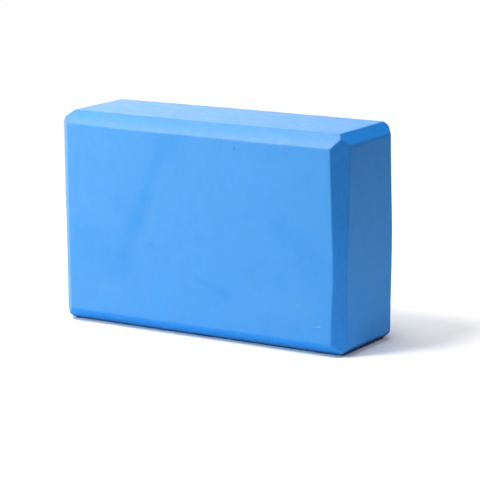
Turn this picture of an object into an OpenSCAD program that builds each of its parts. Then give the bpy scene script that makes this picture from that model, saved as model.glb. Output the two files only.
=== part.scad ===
// Closed-cell foam block, cut from one piece of foam.
// It stands on one of its two long narrow faces, and the origin is the middle of that face.
// X runs along the length, Y through the thickness from front to back, and Z up.

/* [Block] */
// Length from end to end
block_length = 230; // [180:1:300]
// Thickness from the front face to the back face
block_thickness = 75; // [50:1:100]
// Height from the face it stands on to the top face
block_height = 150; // [100:1:200]

/* [Edges] */
// Width that the bevel along an edge takes off each of the two faces that meet there
bevel = 9; // [6:0.5:14]
// Radius that softens each line where a bevel meets a face or another bevel
softening = 3; // [1:0.5:4]

/* [Hidden] */

// Light blue of the foam
FOAM_COLOUR = [0.36, 0.67, 0.96];
// Sides of the softening ball: a multiple of 8, so that it has a point facing every face and bevel
BALL_SIDES = 32;

// The plain rectangular blank that the block is cut from
blank = [block_length, block_thickness, block_height];
// The softened form is a smaller sharp form, swept round with a ball.
// Half sizes of that smaller form: the ball's radius inside the blank on every side
sharp_half = blank / 2 - softening * [1, 1, 1];
// Its bevel, such that the ball just reaches the bevels of the block.
// A bevel plane moved in by the radius crosses the faces moved in by the radius at this distance.
sharp_bevel = bevel - softening * (2 - sqrt(2));
// How far in from its end, front and top its corner points lie: one point on each of the
// three faces, and the tip where the three bevels meet
CORNER_INSETS = [
    [1, 0, 1] * sharp_bevel,
    [0, 1, 1] * sharp_bevel,
    [1, 1, 0] * sharp_bevel,
    [1, 1, 1] * sharp_bevel / 2
];

// Ball with a point at each pole, so that it touches all six sides of its box
module softening_ball() {
    rotate_extrude($fn = BALL_SIDES)
        polygon([
            for (step = [0 : BALL_SIDES / 2])
                let (angle = step * 360 / BALL_SIDES)
                softening * [sin(angle), cos(angle)]
        ]);
}

// The block's form about its own centre: a bevel on all twelve edges, and every line rounded
module softened_form() {
    hull()
        for (side_x = [-1, 1], side_y = [-1, 1], side_z = [-1, 1], inset = CORNER_INSETS)
            translate([
                side_x * (sharp_half.x - inset.x),
                side_y * (sharp_half.y - inset.y),
                side_z * (sharp_half.z - inset.z)
            ])
                softening_ball();
}

// The whole block: the part of the blank that lies inside the softened form
module foam_block() {
    color(FOAM_COLOUR)
        translate([0, 0, block_height / 2])
            intersection() {
                cube(blank, center = true);
                softened_form();
            }
}

foam_block();
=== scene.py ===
"""Closed-cell foam block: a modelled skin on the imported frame, its foam material and a white studio.

Lengths are in millimetres and in the frame's axes, unless a comment says otherwise: X runs along
the block, Y from its front face to its back face, and Z up.
"""

import math

import bpy
import numpy as np
from mathutils import Matrix, Vector


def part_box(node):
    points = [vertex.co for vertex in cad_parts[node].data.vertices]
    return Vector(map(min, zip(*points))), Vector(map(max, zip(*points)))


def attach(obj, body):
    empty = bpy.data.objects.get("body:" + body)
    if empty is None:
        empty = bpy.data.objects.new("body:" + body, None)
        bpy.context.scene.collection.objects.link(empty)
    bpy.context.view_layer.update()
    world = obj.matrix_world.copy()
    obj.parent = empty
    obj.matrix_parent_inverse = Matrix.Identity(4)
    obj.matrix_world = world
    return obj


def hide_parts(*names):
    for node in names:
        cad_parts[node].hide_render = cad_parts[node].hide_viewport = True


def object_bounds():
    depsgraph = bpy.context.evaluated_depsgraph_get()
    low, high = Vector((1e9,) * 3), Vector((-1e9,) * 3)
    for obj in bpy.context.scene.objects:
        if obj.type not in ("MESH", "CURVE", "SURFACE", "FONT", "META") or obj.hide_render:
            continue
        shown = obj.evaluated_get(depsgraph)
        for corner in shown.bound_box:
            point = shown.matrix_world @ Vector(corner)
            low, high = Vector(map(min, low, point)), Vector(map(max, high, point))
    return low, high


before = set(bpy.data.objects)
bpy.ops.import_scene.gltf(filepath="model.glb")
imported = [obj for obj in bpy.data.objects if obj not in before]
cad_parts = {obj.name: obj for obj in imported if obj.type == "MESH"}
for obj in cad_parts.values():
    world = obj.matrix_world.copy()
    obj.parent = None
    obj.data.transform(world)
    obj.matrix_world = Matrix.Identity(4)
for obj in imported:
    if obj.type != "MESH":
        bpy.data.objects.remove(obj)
cad_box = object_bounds()

MM = 0.001
NODE = "foam_block"
SKIN = "foam_skin"

# ---------------------------------------------------------------- sizes of the block's form

# Outward direction of each flat face
FACES = {
    "left": (-1, 0, 0),
    "right": (1, 0, 0),
    "front": (0, -1, 0),
    "back": (0, 1, 0),
    "bottom": (0, 0, -1),
    "top": (0, 0, 1),
}
# Width that the bevel along each edge takes off its two faces, in the order of their names
BEVEL_WIDTHS = {
    ("front", "top"): (9.4, 8.8),
    ("back", "top"): (8.4, 7.3),
    ("left", "top"): (9.1, 10.8),
    ("right", "top"): (8.3, 6.6),
    ("front", "bottom"): (9.1, 8.8),
    ("back", "bottom"): (8.4, 8.0),
    ("left", "bottom"): (8.7, 7.4),
    ("right", "bottom"): (5.9, 6.6),
    ("front", "left"): (9.5, 9.2),
    ("back", "left"): (9.3, 8.9),
    ("front", "right"): (9.4, 6.8),
    ("back", "right"): (8.8, 9.0),
}
# Stretches where a bevel was cut unevenly: its two faces, the middle of the stretch along the edge,
# its half length, and how much narrower (plus) or wider (minus) the bevel is there on each face
UNEVEN_CUTS = [
    (("front", "right"), 62, 34, (1.9, 0.0)),
    (("front", "right"), 108, 22, (0.4, 0.0)),
    (("front", "right"), 62, 14, (0.0, 1.4)),
    (("front", "right"), 135, 52, (0.0, -4.4)),
    (("back", "right"), 72, 40, (1.6, 2.2)),
    (("back", "top"), -110, 80, (-1.0, -2.2)),
    (("front", "top"), -100, 42, (0.5, 0.0)),
]
# How full a bevel is: 1 is flat, and 2 a quarter round
FULLNESS = 1
BASE_FULLNESS = 1.1
# How much lower the top lies at its back left corner
LOW_CORNER = 0.6
# Width of the blend where two faces meet: about 0.16 of the radius that it leaves at a bevel's edge
BLEND = 0.22
# The slow waves in the cuts: their depth and length, how much shorter and longer some are, how many
# are laid over each other, and the first random seed of the bevels' waves
WAVE_DEPTH = 0.22
WAVE_LENGTH = 74
WAVE_SPREAD = (0.7, 1.5)
WAVE_COUNT = 6
BEVEL_SEED = 20

# ---------------------------------------------------------------- marks of use, and painted light and shade

# Cuts in the front face: start and end as (x, z), half width, depth, and height of the lip below
CUTS = {
    "nick": ((91.6, 20.2), (97.7, 20.6), 0.5, 0.4, 0.22),
    "scratch": ((91.8, 24.4), (96.0, 24.0), 0.35, 0.12, 0.08),
}
# How far below a cut its lip lies, in half widths, and how bluntly a cut ends
LIP_OFFSET = 2.4
CUT_TAPER = 0.35
# How bright a cut is at its torn end, whiter torn foam with a painted highlight, per millimetre of
# depth, the share of that along the rest of it, and how closely the bright part keeps to the end
CUT_PALE = 1.9
CUT_PALE_ALONG = 0.1
CUT_PALE_POWER = 5
# A pin hole in the front face: place as (x, z), radius and depth
PIN_HOLE = ((32.1, 134.9), 0.65, 1.0)
# Rubbed strokes on the front face, duller, with less painted sheen and fading: start and end as
# (x, z), half width and strength
STROKES = [
    ((-15.0, 137.0), (-20.0, 126.0), 9.0, 0.4),
    ((-25.0, 134.0), (-42.0, 94.0), 6.5, 0.58),
    ((-42.0, 94.0), (-50.0, 77.0), 6.5, 0.6),
    ((-50.0, 77.0), (-60.5, 50.0), 6.0, 0.55),
    ((-66.0, 88.0), (-54.0, 82.0), 7.0, 0.3),
    ((-92.0, 56.0), (-64.0, 46.0), 14.0, 0.5),
    ((-97.0, 66.0), (-64.0, 66.5), 1.6, 0.4),
    ((-39.1, 60.1), (-37.5, 61.9), 2.2, 1.0),
    ((-25.1, 53.9), (-24.0, 54.5), 2.2, 0.7),
    ((-14.0, 79.5), (-13.0, 80.5), 4.0, 0.4),
    ((-0.7, 43.3), (21.8, 34.7), 2.2, 0.5),
    ((21.8, 34.7), (25.8, 32.4), 3.4, 0.8),
    ((66.0, 85.0), (96.0, 63.0), 8.0, 0.4),
    ((58.5, 136.0), (61.0, 130.0), 3.5, 0.4),
]
# Paler strokes on the front face
PALE_STROKES = [
    ((-24.0, 122.0), (-32.7, 90.2), 2.5, 0.6),
    ((-32.7, 90.2), (-40.0, 66.0), 2.5, 0.8),
    ((-97.0, 92.0), (-70.0, 76.0), 7.0, 0.5),
    ((-78.0, 28.0), (-66.0, 24.0), 6.0, 0.6),
    ((2.6, 99.2), (5.0, 85.0), 1.6, 0.5),
    ((5.0, 85.0), (3.9, 72.0), 1.6, 0.4),
    ((34.0, 27.0), (86.0, 34.0), 12.0, 0.85),
]
# How much of the painted sheen and fading a rubbed stroke takes away, and how much white a paler stroke
# adds
RUBBED_FRESH = 0.4
STROKE_PALE = 0.02
# The marks of the front face reach this far behind it
FRONT_DEPTH = 1.5
# Painted shade along each crease: its width, the heights between which it comes in, and how
# strong it is at the right face and elsewhere
CREASE_WIDTH = 0.85
CREASE_HEIGHTS = (45, 142)
CREASE_RIGHT = 1
CREASE_ELSEWHERE = 0.45
# How far into a face and into its bevel the change between them reaches
EDGE_BLUR = 0.3
# Bevels with painted sheen: the share of white in it, and from where it starts to where it is
# full, as the share of the way from the second face (0) to the first (1)
SHEEN_BEVELS = [
    (("front", "top"), 0.09, -0.2, 0.1),
    (("front", "top"), 0.095, 0.2, 1.1),
    (("front", "left"), 0.12, -0.3, 0.1),
    (("front", "left"), 0.1, 0.8, 0.2),
    (("front", "right"), 0.008, -0.4, 0.0),
    (("left", "top"), 0.05, -0.3, 0.1),
]
# The faces carry painted sheen, most of all the top, and some fading; the cut bevels keep their colour:
# the share of white in each
FACE_SHEEN_AND_FADE = {"left": 0.05, "right": 0.03, "front": 0.061, "back": 0.04, "bottom": 0.0, "top": 0.123}
# How much more painted sheen and fading they have at the left end than in the middle, as a share
MORE_SHEEN_LEFT = 0.25
# Painted light and shade: how much lighter the foam of a part is at half the height, and more at its base
PAINTED_LIGHT_TONES = {
    "right": (0.096, 0.15),
    ("front", "top"): (-0.07, 0.0),
    ("right", "top"): (0.235, 0.0),
    ("front", "bottom"): (0.02, 0.0),
    ("front", "right"): (0.06, 0.0),
    ("back", "right"): (0.06, 0.0),
}
# How much of the bluer foam, which paints the cool fill light on parts facing right, each part takes
FILL_TINT_SHARES = {
    "right": 0.5,
    ("front", "right"): 1.0,
    ("right", "top"): 1.0,
    ("right", "bottom"): 1.0,
    ("back", "right"): 1.0,
}
# The base bevels carry painted contact shade: how strongly at the floor, and up to which height
BASE_SHADE_BEVELS = {
    ("front", "bottom"): (0.9, 3.6),
    ("right", "bottom"): (0.9, 6.5),
    ("back", "bottom"): (0.7, 4.5),
    ("left", "bottom"): (0.7, 4.5),
}
# Up to this height the painted shade at the base has its full strength
BASE_SHADE_FULL = 0.4

# ---------------------------------------------------------------- surface grid

# The skin's grid fans out from an inner box this far below the faces
FAN_REACH = 13.0
# Steps from a flat face to the middle of its bevel, and the step across the flats
FAN_STEPS = 20
FLAT_STEP = 2.5
# Halvings in the search for the form along each line of the fan
HALVINGS = 30
# Stretches with finer steps for the marks, along X and along Z: low end, high end and step
FINE_X = [(90, 101, 0.5), (30, 34, 0.4)]
FINE_Z = [(18, 26, 0.3), (132.5, 137.3, 0.4)]


def half_and_middle():
    """Half the size of the CAD node along each axis, and its middle."""
    low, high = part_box(NODE)
    return np.array((high - low) / 2) / MM, np.array((high + low) / 2) / MM


def axis_places(half, fine_stretches):
    """Places of the grid lines along one axis: even over the flat, and even in angle over the fans."""
    flat = half - FAN_REACH
    places = list(np.linspace(-flat, flat, round(2 * flat / FLAT_STEP) + 1))
    for low, high, step in fine_stretches:
        places = [p for p in places if not low < p < high]
        places += list(np.arange(low, high + step / 2, step))
    angles = [math.radians(45) * i / FAN_STEPS for i in range(1, FAN_STEPS + 1)]
    fan = [flat + FAN_REACH * math.tan(angle) for angle in angles]
    return np.array(sorted([-p for p in fan] + places + fan))


def grid_box(places):
    """Points and quads of a box whose six sides carry a grid with those places along X, Y and Z."""
    counts = [len(p) for p in places]
    number = {}
    points, quads = [], []

    def point(index):
        if index not in number:
            number[index] = len(points)
            points.append([places[axis][index[axis]] for axis in range(3)])
        return number[index]

    for normal in range(3):
        across, up = (normal + 1) % 3, (normal + 2) % 3
        for side in (0, counts[normal] - 1):
            for i in range(counts[across] - 1):
                for j in range(counts[up] - 1):
                    corners = []
                    for di, dj in ((0, 0), (1, 0), (1, 1), (0, 1)):
                        index = [0, 0, 0]
                        index[normal], index[across], index[up] = side, i + di, j + dj
                        corners.append(point(tuple(index)))
                    quads.append(corners if side else corners[::-1])
    return np.array(points), quads


def edge_axis(names):
    """The axis that runs along the edge of two faces."""
    return next(axis for axis in range(3) if not any(FACES[name][axis] for name in names))


def bevel_widths(names, points, middle):
    """A bevel's two widths at each point: its own, less what an uneven cut leaves."""
    first, second = (np.full(len(points), width) for width in BEVEL_WIDTHS[names])
    axis = edge_axis(names)
    for cut, place, reach, depths in UNEVEN_CUTS:
        if cut == names:
            bump = np.exp(-(((points[:, axis] + middle[axis] - place) / reach) ** 2))
            first = first - depths[0] * bump
            second = second - depths[1] * bump
    return first, second


def waves(points, seed):
    """Slow, smooth waves from 0 to 1 over the points."""
    random = np.random.default_rng(seed)
    total = np.zeros(len(points))
    for _ in range(WAVE_COUNT):
        direction = random.normal(size=3)
        direction /= np.linalg.norm(direction)
        length = WAVE_LENGTH * random.uniform(*WAVE_SPREAD)
        total += np.sin(points @ direction * 2 * math.pi / length + random.uniform(0, 2 * math.pi))
    return 0.5 + total / (2 * WAVE_COUNT)


def bevel_distance(beyond, widths, fullness):
    """How far points lie outside a bevel, from how far they lie beyond its two faces."""
    # From 0 where the bevel starts to 1 at the face that it runs into
    shares = [beyond[0] / widths[1] + 1, beyond[1] / widths[0] + 1]
    rise = sum(np.maximum(share, 0) ** fullness for share in shares) ** (1 / fullness)
    fall = sum(np.minimum(share, 0) for share in shares)
    return (rise + fall - 1) / np.hypot(1 / widths[0], 1 / widths[1])


def beyond_faces(points, half, names):
    """How far points lie beyond each of the named faces."""
    return [points @ np.array(FACES[name], float) - half @ np.abs(FACES[name]) for name in names]


def face_distances(points, half):
    """How far points lie outside each face, with its waves and the low corner of the top."""
    distances = []
    for seed, name in enumerate(FACES):
        depth = 0.0 if name == "bottom" else WAVE_DEPTH * waves(points, seed)
        if name == "top":
            share = (half[0] - points[:, 0]) * (half[1] + points[:, 1]) / (4 * half[0] * half[1])
            depth = depth + LOW_CORNER * share
        distances.append(beyond_faces(points, half, [name])[0] + depth)
    return distances


def bevel_distances(points, half, middle):
    """How far points lie outside each bevel, in the order of the table of bevels."""
    distances = []
    for seed, names in enumerate(BEVEL_WIDTHS):
        beyond = beyond_faces(points, half, names)
        widths = bevel_widths(names, points, middle)
        fullness = BASE_FULLNESS if "bottom" in names else FULLNESS
        wave = WAVE_DEPTH * (waves(points, BEVEL_SEED + seed) - 0.5)
        distances.append(bevel_distance(beyond, widths, fullness) + wave)
    return distances


def outside(points, half, middle):
    """How far each point lies outside the form: the distances from all faces and bevels, blended."""
    distances = np.array(face_distances(points, half) + bevel_distances(points, half, middle))
    most = distances.max(0)
    return most + BLEND * np.log(np.exp((distances - most) / BLEND).sum(0))


def wrapped(points, half, middle):
    """The grid's points moved onto the form, each along the line from the inner box to it."""
    inner = half - FAN_REACH
    start = np.clip(points, -inner, inner)
    way = points - start
    low, high = np.zeros(len(points)), np.ones(len(points))
    for _ in range(HALVINGS):
        share = (low + high) / 2
        beyond = outside(start + way * share[:, None], half, middle) > 0
        high = np.where(beyond, share, high)
        low = np.where(beyond, low, share)
    return start + way * low[:, None]


def along_stroke(points, start, end):
    """How far along a stroke on the front face points lie, as a share, on which side, and how far off."""
    place = points[:, [0, 2]] - np.array(start)
    way = np.array(end) - np.array(start)
    length = np.hypot(*way)
    share = np.clip(place @ way / length**2, 0, 1)
    nearest = place - share[:, None] * way
    side = np.sign(nearest @ np.array([-way[1], way[0]]))
    return share, side, np.hypot(*nearest.T)


def on_front(points, half):
    """1 on the front face and 0 away from it."""
    return (points[:, 1] < FRONT_DEPTH - half[1]).astype(float)


def dented(points, half):
    """The points with the cuts and the pin hole pressed into the front face."""
    depth = np.zeros(len(points))
    for start, end, half_width, deep, lip in CUTS.values():
        share, side, away = along_stroke(points, start, end)
        taper = (4 * share * (1 - share)) ** CUT_TAPER
        offset = side * away / half_width
        depth += deep * taper * np.exp(-(offset**2))
        depth -= lip * taper * np.exp(-((offset + LIP_OFFSET) ** 2))
    centre, radius, deep = PIN_HOLE
    away = np.hypot(points[:, 0] - centre[0], points[:, 2] - centre[1])
    depth += deep * np.exp(-((away / radius) ** 2))
    points = points.copy()
    points[:, 1] += depth * on_front(points, half)
    return points


def stroke_share(points, half, strokes):
    """How strongly the strokes on the front face mark each point."""
    total = np.zeros(len(points))
    for start, end, half_width, strength in strokes:
        away = along_stroke(points, start, end)[2]
        total += strength * np.exp(-((away / half_width) ** 2))
    return np.minimum(total, 1) * on_front(points, half)


def eased(values, low, high):
    """From 0 at low to 1 at high, with soft ends."""
    share = np.clip((values - low) / (high - low), 0, 1)
    return share * share * (3 - 2 * share)


def share_of_parts(faces, bevels):
    """The share that each face and each bevel has in each point, and that of all bevels together."""
    on_bevel = eased(bevels.max(0) - faces.max(0), -EDGE_BLUR, EDGE_BLUR)
    parts = {}
    for number, names in enumerate(BEVEL_WIDTHS):
        parts[names] = on_bevel * (bevels.argmax(0) == number)
    for number, name in enumerate(FACES):
        parts[name] = (1 - on_bevel) * (faces.argmax(0) == number)
    return parts, on_bevel


def crease_shade_share(points, faces, bevels):
    """How strongly painted shade darkens each point along a crease, where two faces or bevels are equally
    near.
    """
    ranked = np.sort(np.concatenate([faces, bevels]), axis=0)
    near = np.exp(-(((ranked[-1] - ranked[-2]) / CREASE_WIDTH) ** 2))
    by_right = faces.argmax(0) == list(FACES).index("right")
    return near * eased(points[:, 2], *CREASE_HEIGHTS) * np.where(by_right, CREASE_RIGHT, CREASE_ELSEWHERE)


def sheen_and_pale_share(points, half, middle, parts):
    """The share of white in the foam: painted sheen and some fading on the faces and bevels, and the paler
    strokes.
    """
    local = points - middle
    sheen_and_pale = sum(share * parts[name] for name, share in FACE_SHEEN_AND_FADE.items())
    sheen_and_pale *= 1 - RUBBED_FRESH * stroke_share(points, half, STROKES)
    sheen_and_pale *= 1 - MORE_SHEEN_LEFT * local[:, 0] / half[0]
    sheen_and_pale += STROKE_PALE * stroke_share(points, half, PALE_STROKES)
    for names, white, low, high in SHEEN_BEVELS:
        way = beyond_faces(local, half, names)[0] / bevel_widths(names, local, middle)[1] + 1
        sheen_and_pale += white * parts[names] * eased(way, low, high)
    return sheen_and_pale


def torn_and_glint_share(points, half):
    """How torn and bright the foam is in the cuts, with a painted highlight, most of all at their ends."""
    torn_and_glint = np.zeros(len(points))
    for start, end, half_width, deep, _ in CUTS.values():
        share, _, away = along_stroke(points, start, end)
        bright = CUT_PALE * deep * (CUT_PALE_ALONG + share**CUT_PALE_POWER)
        torn_and_glint += bright * np.exp(-((away / half_width) ** 2))
    return torn_and_glint * on_front(points, half)


def painted_light_tone(height, parts):
    """How much lighter painted light makes the foam, where height runs from -1 at the base to 1 at the
    top.
    """
    return sum((painted_light - more * height) * parts[name] for name, (painted_light, more) in PAINTED_LIGHT_TONES.items())


def base_shade_share(points, parts):
    """How much painted shade each point takes: most of all at the floor, on the bevels along the base."""
    base_shade = np.zeros(len(points))
    for names, (share, height) in BASE_SHADE_BEVELS.items():
        base_shade += share * parts[names] * (1 - eased(points[:, 2], BASE_SHADE_FULL, height))
    return base_shade


def surface_marks(points, half, middle):
    """What the material needs to know of each point of the form, as named values."""
    local = points - middle
    faces = np.array(face_distances(local, half))
    bevels = np.array(bevel_distances(local, half, middle))
    parts, on_bevel = share_of_parts(faces, bevels)
    return {
        "bevel": on_bevel,
        # painted light and shade of each part
        "painted_light": painted_light_tone(local[:, 2] / half[2], parts),
        # painted cool fill light on the parts facing right
        "deep": sum(share * parts[name] for name, share in FILL_TINT_SHARES.items()),
        # painted shade along the creases
        "crease_shade": crease_shade_share(points, faces, bevels),
        # painted sheen on faces and bevels, with some fading and the paler strokes
        "sheen_and_pale": sheen_and_pale_share(points, half, middle, parts),
        "rubbed": stroke_share(points, half, STROKES),
        # whiter torn foam and a painted highlight in the cuts
        "torn_and_glint": torn_and_glint_share(points, half),
        # painted shade at the base, for the contact shadow
        "base_shade": base_shade_share(points, parts),
    }


def build_block(material):
    """The skin of the block, with its marks as named values that the material reads."""
    half, middle = half_and_middle()
    fine_x = [(low - middle[0], high - middle[0], step) for low, high, step in FINE_X]
    fine_z = [(low - middle[2], high - middle[2], step) for low, high, step in FINE_Z]
    places = [axis_places(*pair) for pair in zip(half, (fine_x, [], fine_z))]
    points, quads = grid_box(places)
    points = wrapped(points, half, middle) + middle
    marks = surface_marks(points, half, middle)
    points = dented(points, half)
    mesh = bpy.data.meshes.new(SKIN)
    mesh.from_pydata((points * MM).tolist(), [], quads)
    mesh.shade_smooth()
    for name, values in marks.items():
        attribute = mesh.attributes.new(name, "FLOAT", "POINT")
        attribute.data.foreach_set("value", values.astype(np.float32))
    mesh.materials.append(material)
    block = bpy.data.objects.new(SKIN, mesh)
    bpy.context.scene.collection.objects.link(block)
    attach(block, "root")
    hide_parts(NODE)


# ---------------------------------------------------------------- material

# Colours: the cut foam, a bluer one that paints the cool fill light, the white of painted sheen,
# fading and paler strokes, the torn inside with its painted highlight, and the painted base shade
FOAM_BLUE = (0.012, 0.324, 0.89)
FILL_TINT_BLUE = (0.012, 0.296, 0.915)
SHEEN_AND_PALE_FOAM = (0.76, 0.92, 0.66)
TORN_GLINT_FOAM = (0.28, 0.76, 1.0)
BASE_SHADE_BLUE = (0.0, 0.055, 0.17)
# Each noise below has its scale along X, Y and Z per metre, its detail, and its reach from the
# lowest to the highest value.
# Mottling of the brightness, from drifts as long as the block to grain
MOTTLING = [
    ((14, 14, 9), 2, 0.07),
    ((95, 95, 60), 3, 0.09),
    ((330, 330, 220), 2, 0.11),
    ((750, 750, 600), 2, 0.09),
    ((1500, 1500, 1500), 2, 0.12),
]
# Short streaks that the blade left along X on the bevels
STREAKS = ((110, 500, 500), 3, 0.24)
# Patches in the painted crease shade, the painted sheen and fading, and the painted base shade
CREASE_SHADE_PATCHES = ((40, 40, 40), 2, 0.4)
SHEEN_AND_PALE_PATCHES = ((150, 150, 150), 3, 0.6)
BASE_SHADE_PATCHES = ((120, 120, 300), 3, 0.8)
# How much darker the painted crease shade and the rubbed strokes make the foam
CREASE_SHADE_DARKER = 0.1
RUBBED_DARKER = 0.035
# Gloss, and roughness with its patches and what rubbing adds
GLOSS = 0.45
ROUGHNESS = 0.5
ROUGH_PATCHES = ((160, 160, 110), 4, 0.3)
RUBBED_ROUGHNESS = 0.12
# Closed cells: how many in a metre, and the depth of the dimples that they leave
CELLS = 2300
CELL_DEPTH = 0.035


def joined(tree, operation, first, second):
    """The output of a math node on two values, each a number or another output."""
    node = tree.nodes.new("ShaderNodeMath")
    node.operation = operation
    for socket, value in zip(node.inputs, (first, second)):
        if isinstance(value, bpy.types.NodeSocket):
            tree.links.new(value, socket)
        else:
            socket.default_value = value
    return node.outputs[0]


def mixed(tree, share, first, second):
    """Two colours mixed, each a colour or another output."""
    node = tree.nodes.new("ShaderNodeMix")
    node.data_type = "RGBA"
    tree.links.new(share, node.inputs["Factor"])
    for name, value in (("A", first), ("B", second)):
        if isinstance(value, bpy.types.NodeSocket):
            tree.links.new(value, node.inputs[name])
        else:
            node.inputs[name].default_value = (*value, 1)
    return node.outputs["Result"]


def noise(tree, scales, detail, reach):
    """Noise around 0, from minus to plus half the reach."""
    place = tree.nodes.new("ShaderNodeTexCoord")
    stretch = tree.nodes.new("ShaderNodeMapping")
    stretch.inputs["Scale"].default_value = scales
    tree.links.new(place.outputs["Object"], stretch.inputs["Vector"])
    node = tree.nodes.new("ShaderNodeTexNoise")
    node.inputs["Scale"].default_value = 1.0
    node.inputs["Detail"].default_value = detail
    tree.links.new(stretch.outputs[0], node.inputs["Vector"])
    centred = joined(tree, "SUBTRACT", node.outputs["Fac"], 0.5)
    return joined(tree, "MULTIPLY", centred, reach)


def mark(tree, name):
    """One of the named values that the mesh carries."""
    node = tree.nodes.new("ShaderNodeAttribute")
    node.attribute_name = name
    return node.outputs["Fac"]


def patchy_mark(tree, name, patches):
    """One of the named values, stronger and weaker by patches."""
    return joined(tree, "MULTIPLY", mark(tree, name), joined(tree, "ADD", noise(tree, *patches), 1.0))


def brightness(tree):
    """Around 1: mottling, streaks, each part's painted light and shade, less painted crease shade and
    rubbed strokes.
    """
    total = 1.0
    for one in MOTTLING:
        total = joined(tree, "ADD", noise(tree, *one), total)
    streaks = joined(tree, "MULTIPLY", noise(tree, *STREAKS), mark(tree, "bevel"))
    total = joined(tree, "ADD", streaks, total)
    # each part's painted light and shade
    total = joined(tree, "ADD", total, mark(tree, "painted_light"))
    # painted shade along the creases
    darker = joined(tree, "ADD", noise(tree, *CREASE_SHADE_PATCHES), CREASE_SHADE_DARKER)
    total = joined(tree, "SUBTRACT", total, joined(tree, "MULTIPLY", mark(tree, "crease_shade"), darker))
    return joined(tree, "SUBTRACT", total, joined(tree, "MULTIPLY", mark(tree, "rubbed"), RUBBED_DARKER))


def foam_colour(tree):
    """The mottled blue with painted fill light, whitened by painted sheen and fading, bright in the cuts,
    darkened by painted base shade.
    """
    blue = tree.nodes.new("ShaderNodeVectorMath")
    blue.operation = "SCALE"
    # bluer where painted cool fill light falls on the parts facing right
    tree.links.new(mixed(tree, mark(tree, "deep"), FOAM_BLUE, FILL_TINT_BLUE), blue.inputs[0])
    tree.links.new(brightness(tree), blue.inputs["Scale"])
    # whitened by painted sheen, some fading and the paler strokes
    colour = mixed(tree, patchy_mark(tree, "sheen_and_pale", SHEEN_AND_PALE_PATCHES), blue.outputs[0], SHEEN_AND_PALE_FOAM)
    # whiter torn foam and a painted highlight in the cuts
    colour = mixed(tree, mark(tree, "torn_and_glint"), colour, TORN_GLINT_FOAM)
    # darkened by painted shade at the base, for the contact shadow
    return mixed(tree, patchy_mark(tree, "base_shade", BASE_SHADE_PATCHES), colour, BASE_SHADE_BLUE)


def foam_roughness(tree):
    """Patchy, and rougher in the rubbed strokes."""
    total = joined(tree, "ADD", noise(tree, *ROUGH_PATCHES), ROUGHNESS)
    return joined(tree, "ADD", total, joined(tree, "MULTIPLY", mark(tree, "rubbed"), RUBBED_ROUGHNESS))


def cell_bump(tree):
    """Fine dimples of the closed cells."""
    place = tree.nodes.new("ShaderNodeTexCoord")
    cells = tree.nodes.new("ShaderNodeTexVoronoi")
    cells.inputs["Scale"].default_value = CELLS
    tree.links.new(place.outputs["Object"], cells.inputs["Vector"])
    bump = tree.nodes.new("ShaderNodeBump")
    bump.inputs["Strength"].default_value = 1.0
    bump.inputs["Distance"].default_value = CELL_DEPTH * MM
    tree.links.new(cells.outputs["Distance"], bump.inputs["Height"])
    return bump.outputs["Normal"]


def foam_material():
    """Closed-cell foam: matte, with fine cells, its mottling and its marks."""
    material = bpy.data.materials.new("foam")
    material.use_nodes = True
    tree = material.node_tree
    shader = tree.nodes["Principled BSDF"]
    tree.links.new(foam_colour(tree), shader.inputs["Base Color"])
    tree.links.new(foam_roughness(tree), shader.inputs["Roughness"])
    tree.links.new(cell_bump(tree), shader.inputs["Normal"])
    shader.inputs["Specular IOR Level"].default_value = GLOSS
    return material


# ---------------------------------------------------------------- studio

# The lamps: azimuth around the block from its right side toward its back, elevation, power, and
# size in metres
LAMPS = {
    "key": (236, 16, 7.9, 0.7),
    "high": (240, 64, 6.1, 0.35),
    "over": (315, 82, 3.5, 0.35),
    "left": (180, 54, 2.8, 0.5),
    "back": (135, 30, 2.5, 1.0),
    "right": (20, 43, 2.4, 0.35),
}
# How far each lamp is from the block's middle, in metres
LAMP_DISTANCE = 1.25
# Faint light from all round
AMBIENT = 0.02
# The gloss mirrors the white backdrop only toward the left: where it starts and where it is full,
# from 1, the direction to the right, to -1, the one to the left
MIRRORED = (0.0, -0.3)
# The floor's size in metres, its colour, and the lighter and warmer one that the camera sees
FLOOR_SIZE = 12.0
FLOOR_COLOUR = (0.9, 0.9, 0.9)
FLOOR_SEEN = (1.43, 1.4, 1.37)
# Where the floor starts to turn plain white, and where it is, in metres from the block's middle
FLOOR_FADE = (0.27, 0.62)
# Where along X that plain white floor starts to show in the gloss too, and where it is full, in metres
FLOOR_MIRRORED = (0.1, -0.1)


def ramp(tree, value, start, full):
    """From 0 where the value is at its start to 1 where it is full, with soft ends."""
    node = tree.nodes.new("ShaderNodeMapRange")
    node.interpolation_type = "SMOOTHSTEP"
    node.inputs["From Min"].default_value = start
    node.inputs["From Max"].default_value = full
    tree.links.new(value, node.inputs["Value"])
    return node.outputs["Result"]


def seen_share(tree, rays, place, mirrored):
    """1 for the camera, itself or through glass, and from 0 to 1 along X for the gloss."""
    axes = tree.nodes.new("ShaderNodeSeparateXYZ")
    tree.links.new(place, axes.inputs[0])
    glossy = joined(tree, "MULTIPLY", rays["Is Glossy Ray"], ramp(tree, axes.outputs["X"], *mirrored))
    direct = joined(tree, "MAXIMUM", rays["Is Camera Ray"], rays["Is Transmission Ray"])
    return joined(tree, "MAXIMUM", glossy, direct)


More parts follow.
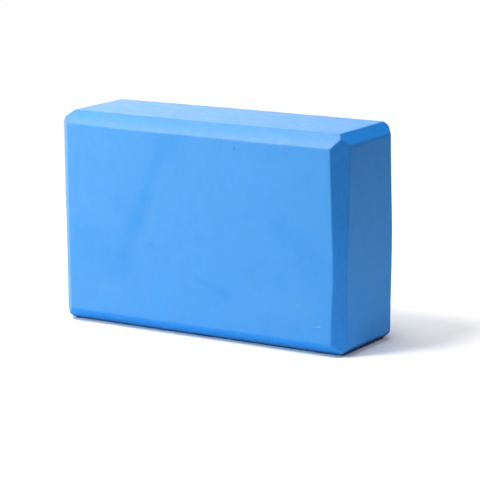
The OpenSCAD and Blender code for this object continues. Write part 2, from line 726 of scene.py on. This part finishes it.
def floor_material():
    """Matte white near the block, where it takes the shadow, and plain white farther off."""
    material = bpy.data.materials.new("floor")
    material.use_nodes = True
    tree = material.node_tree
    tree.nodes.clear()
    rays = tree.nodes.new("ShaderNodeLightPath").outputs
    place = tree.nodes.new("ShaderNodeTexCoord").outputs["Object"]
    distance = tree.nodes.new("ShaderNodeVectorMath")
    distance.operation = "LENGTH"
    tree.links.new(place, distance.inputs[0])
    far = ramp(tree, distance.outputs["Value"], *FLOOR_FADE)
    matte = tree.nodes.new("ShaderNodeBsdfDiffuse")
    tree.links.new(mixed(tree, rays["Is Camera Ray"], FLOOR_COLOUR, FLOOR_SEEN), matte.inputs["Color"])
    white = tree.nodes.new("ShaderNodeEmission")
    both = tree.nodes.new("ShaderNodeMixShader")
    seen = seen_share(tree, rays, place, FLOOR_MIRRORED)
    tree.links.new(joined(tree, "MULTIPLY", seen, far), both.inputs["Fac"])
    tree.links.new(matte.outputs[0], both.inputs[1])
    tree.links.new(white.outputs[0], both.inputs[2])
    output = tree.nodes.new("ShaderNodeOutputMaterial")
    tree.links.new(both.outputs[0], output.inputs["Surface"])
    return material


def build_floor():
    """The floor: a large plane with its material."""
    bpy.ops.mesh.primitive_plane_add(size=FLOOR_SIZE)
    floor = bpy.context.object
    floor.name = "floor"
    floor.data.materials.append(floor_material())


def build_world():
    """White to the camera, white on the left to the gloss, and faint to matte surfaces."""
    world = bpy.data.worlds.new("studio")
    bpy.context.scene.world = world
    world.use_nodes = True
    tree = world.node_tree
    background = tree.nodes["Background"]
    background.inputs["Color"].default_value = (1, 1, 1, 1)
    rays = tree.nodes.new("ShaderNodeLightPath").outputs
    direction = tree.nodes.new("ShaderNodeTexCoord").outputs["Generated"]
    strength = tree.nodes.new("ShaderNodeMapRange")
    strength.inputs["To Min"].default_value = AMBIENT
    strength.inputs["To Max"].default_value = 1.0
    tree.links.new(seen_share(tree, rays, direction, MIRRORED), strength.inputs["Value"])
    tree.links.new(strength.outputs["Result"], background.inputs["Strength"])


def build_lamps():
    """Round soft lamps, all at the same distance from the block's middle and turned toward it."""
    low, high = cad_box
    middle = (low + high) / 2
    for name, (azimuth, elevation, power, size) in LAMPS.items():
        lamp = bpy.data.lights.new(name, "AREA")
        lamp.shape = "DISK"
        lamp.size = size
        lamp.energy = power
        around = math.radians(azimuth)
        up = math.radians(elevation)
        away = Vector((math.cos(around) * math.cos(up), math.sin(around) * math.cos(up), math.sin(up)))
        holder = bpy.data.objects.new(name, lamp)
        holder.location = middle + away * LAMP_DISTANCE
        holder.rotation_euler = away.to_track_quat("Z", "Y").to_euler()
        bpy.context.scene.collection.objects.link(holder)


# ---------------------------------------------------------------- camera

# The camera stands to the right of the front and a little above it: angles in degrees
CAMERA_AZIMUTH = 32.13
CAMERA_ELEVATION = 12.09
CAMERA_ROLL = -0.54
# Where the middle of the block's base lies from the camera: to the right, down and away
BASE_SEEN_AT = (-13.2, 60.9, 1735.8)
# The width of the square frame, the focal length and the middle of the view, in pixels of the frame
FRAME_WIDTH = 480
FOCAL_LENGTH = 2487
VIEW_MIDDLE = (245, 240)
# The width of the sensor, and how far the camera sees, in metres
SENSOR_WIDTH = 36.0
VIEW_REACH = 50


def build_camera():
    """The camera, which sees the front, the top and the right end."""
    data = bpy.data.cameras.new("camera")
    data.sensor_width = SENSOR_WIDTH
    data.lens = FOCAL_LENGTH / FRAME_WIDTH * SENSOR_WIDTH
    data.shift_x = (FRAME_WIDTH / 2 - VIEW_MIDDLE[0]) / FRAME_WIDTH
    data.shift_y = (VIEW_MIDDLE[1] - FRAME_WIDTH / 2) / FRAME_WIDTH
    data.clip_end = VIEW_REACH
    camera = bpy.data.objects.new("camera", data)
    turn = Matrix.Rotation(math.radians(CAMERA_AZIMUTH), 4, "Z")
    tilt = Matrix.Rotation(math.radians(90 - CAMERA_ELEVATION), 4, "X")
    roll = Matrix.Rotation(math.radians(CAMERA_ROLL), 4, "Z")
    rotation = turn @ tilt @ roll
    right, down, away = BASE_SEEN_AT
    base = Vector((right, -down, -away)) * MM
    camera.matrix_world = Matrix.Translation(-(rotation @ base)) @ rotation
    bpy.context.scene.collection.objects.link(camera)
    bpy.context.scene.camera = camera


build_block(foam_material())
build_floor()
build_world()
build_lamps()
build_camera()
bpy.context.scene.view_settings.view_transform = "Standard"
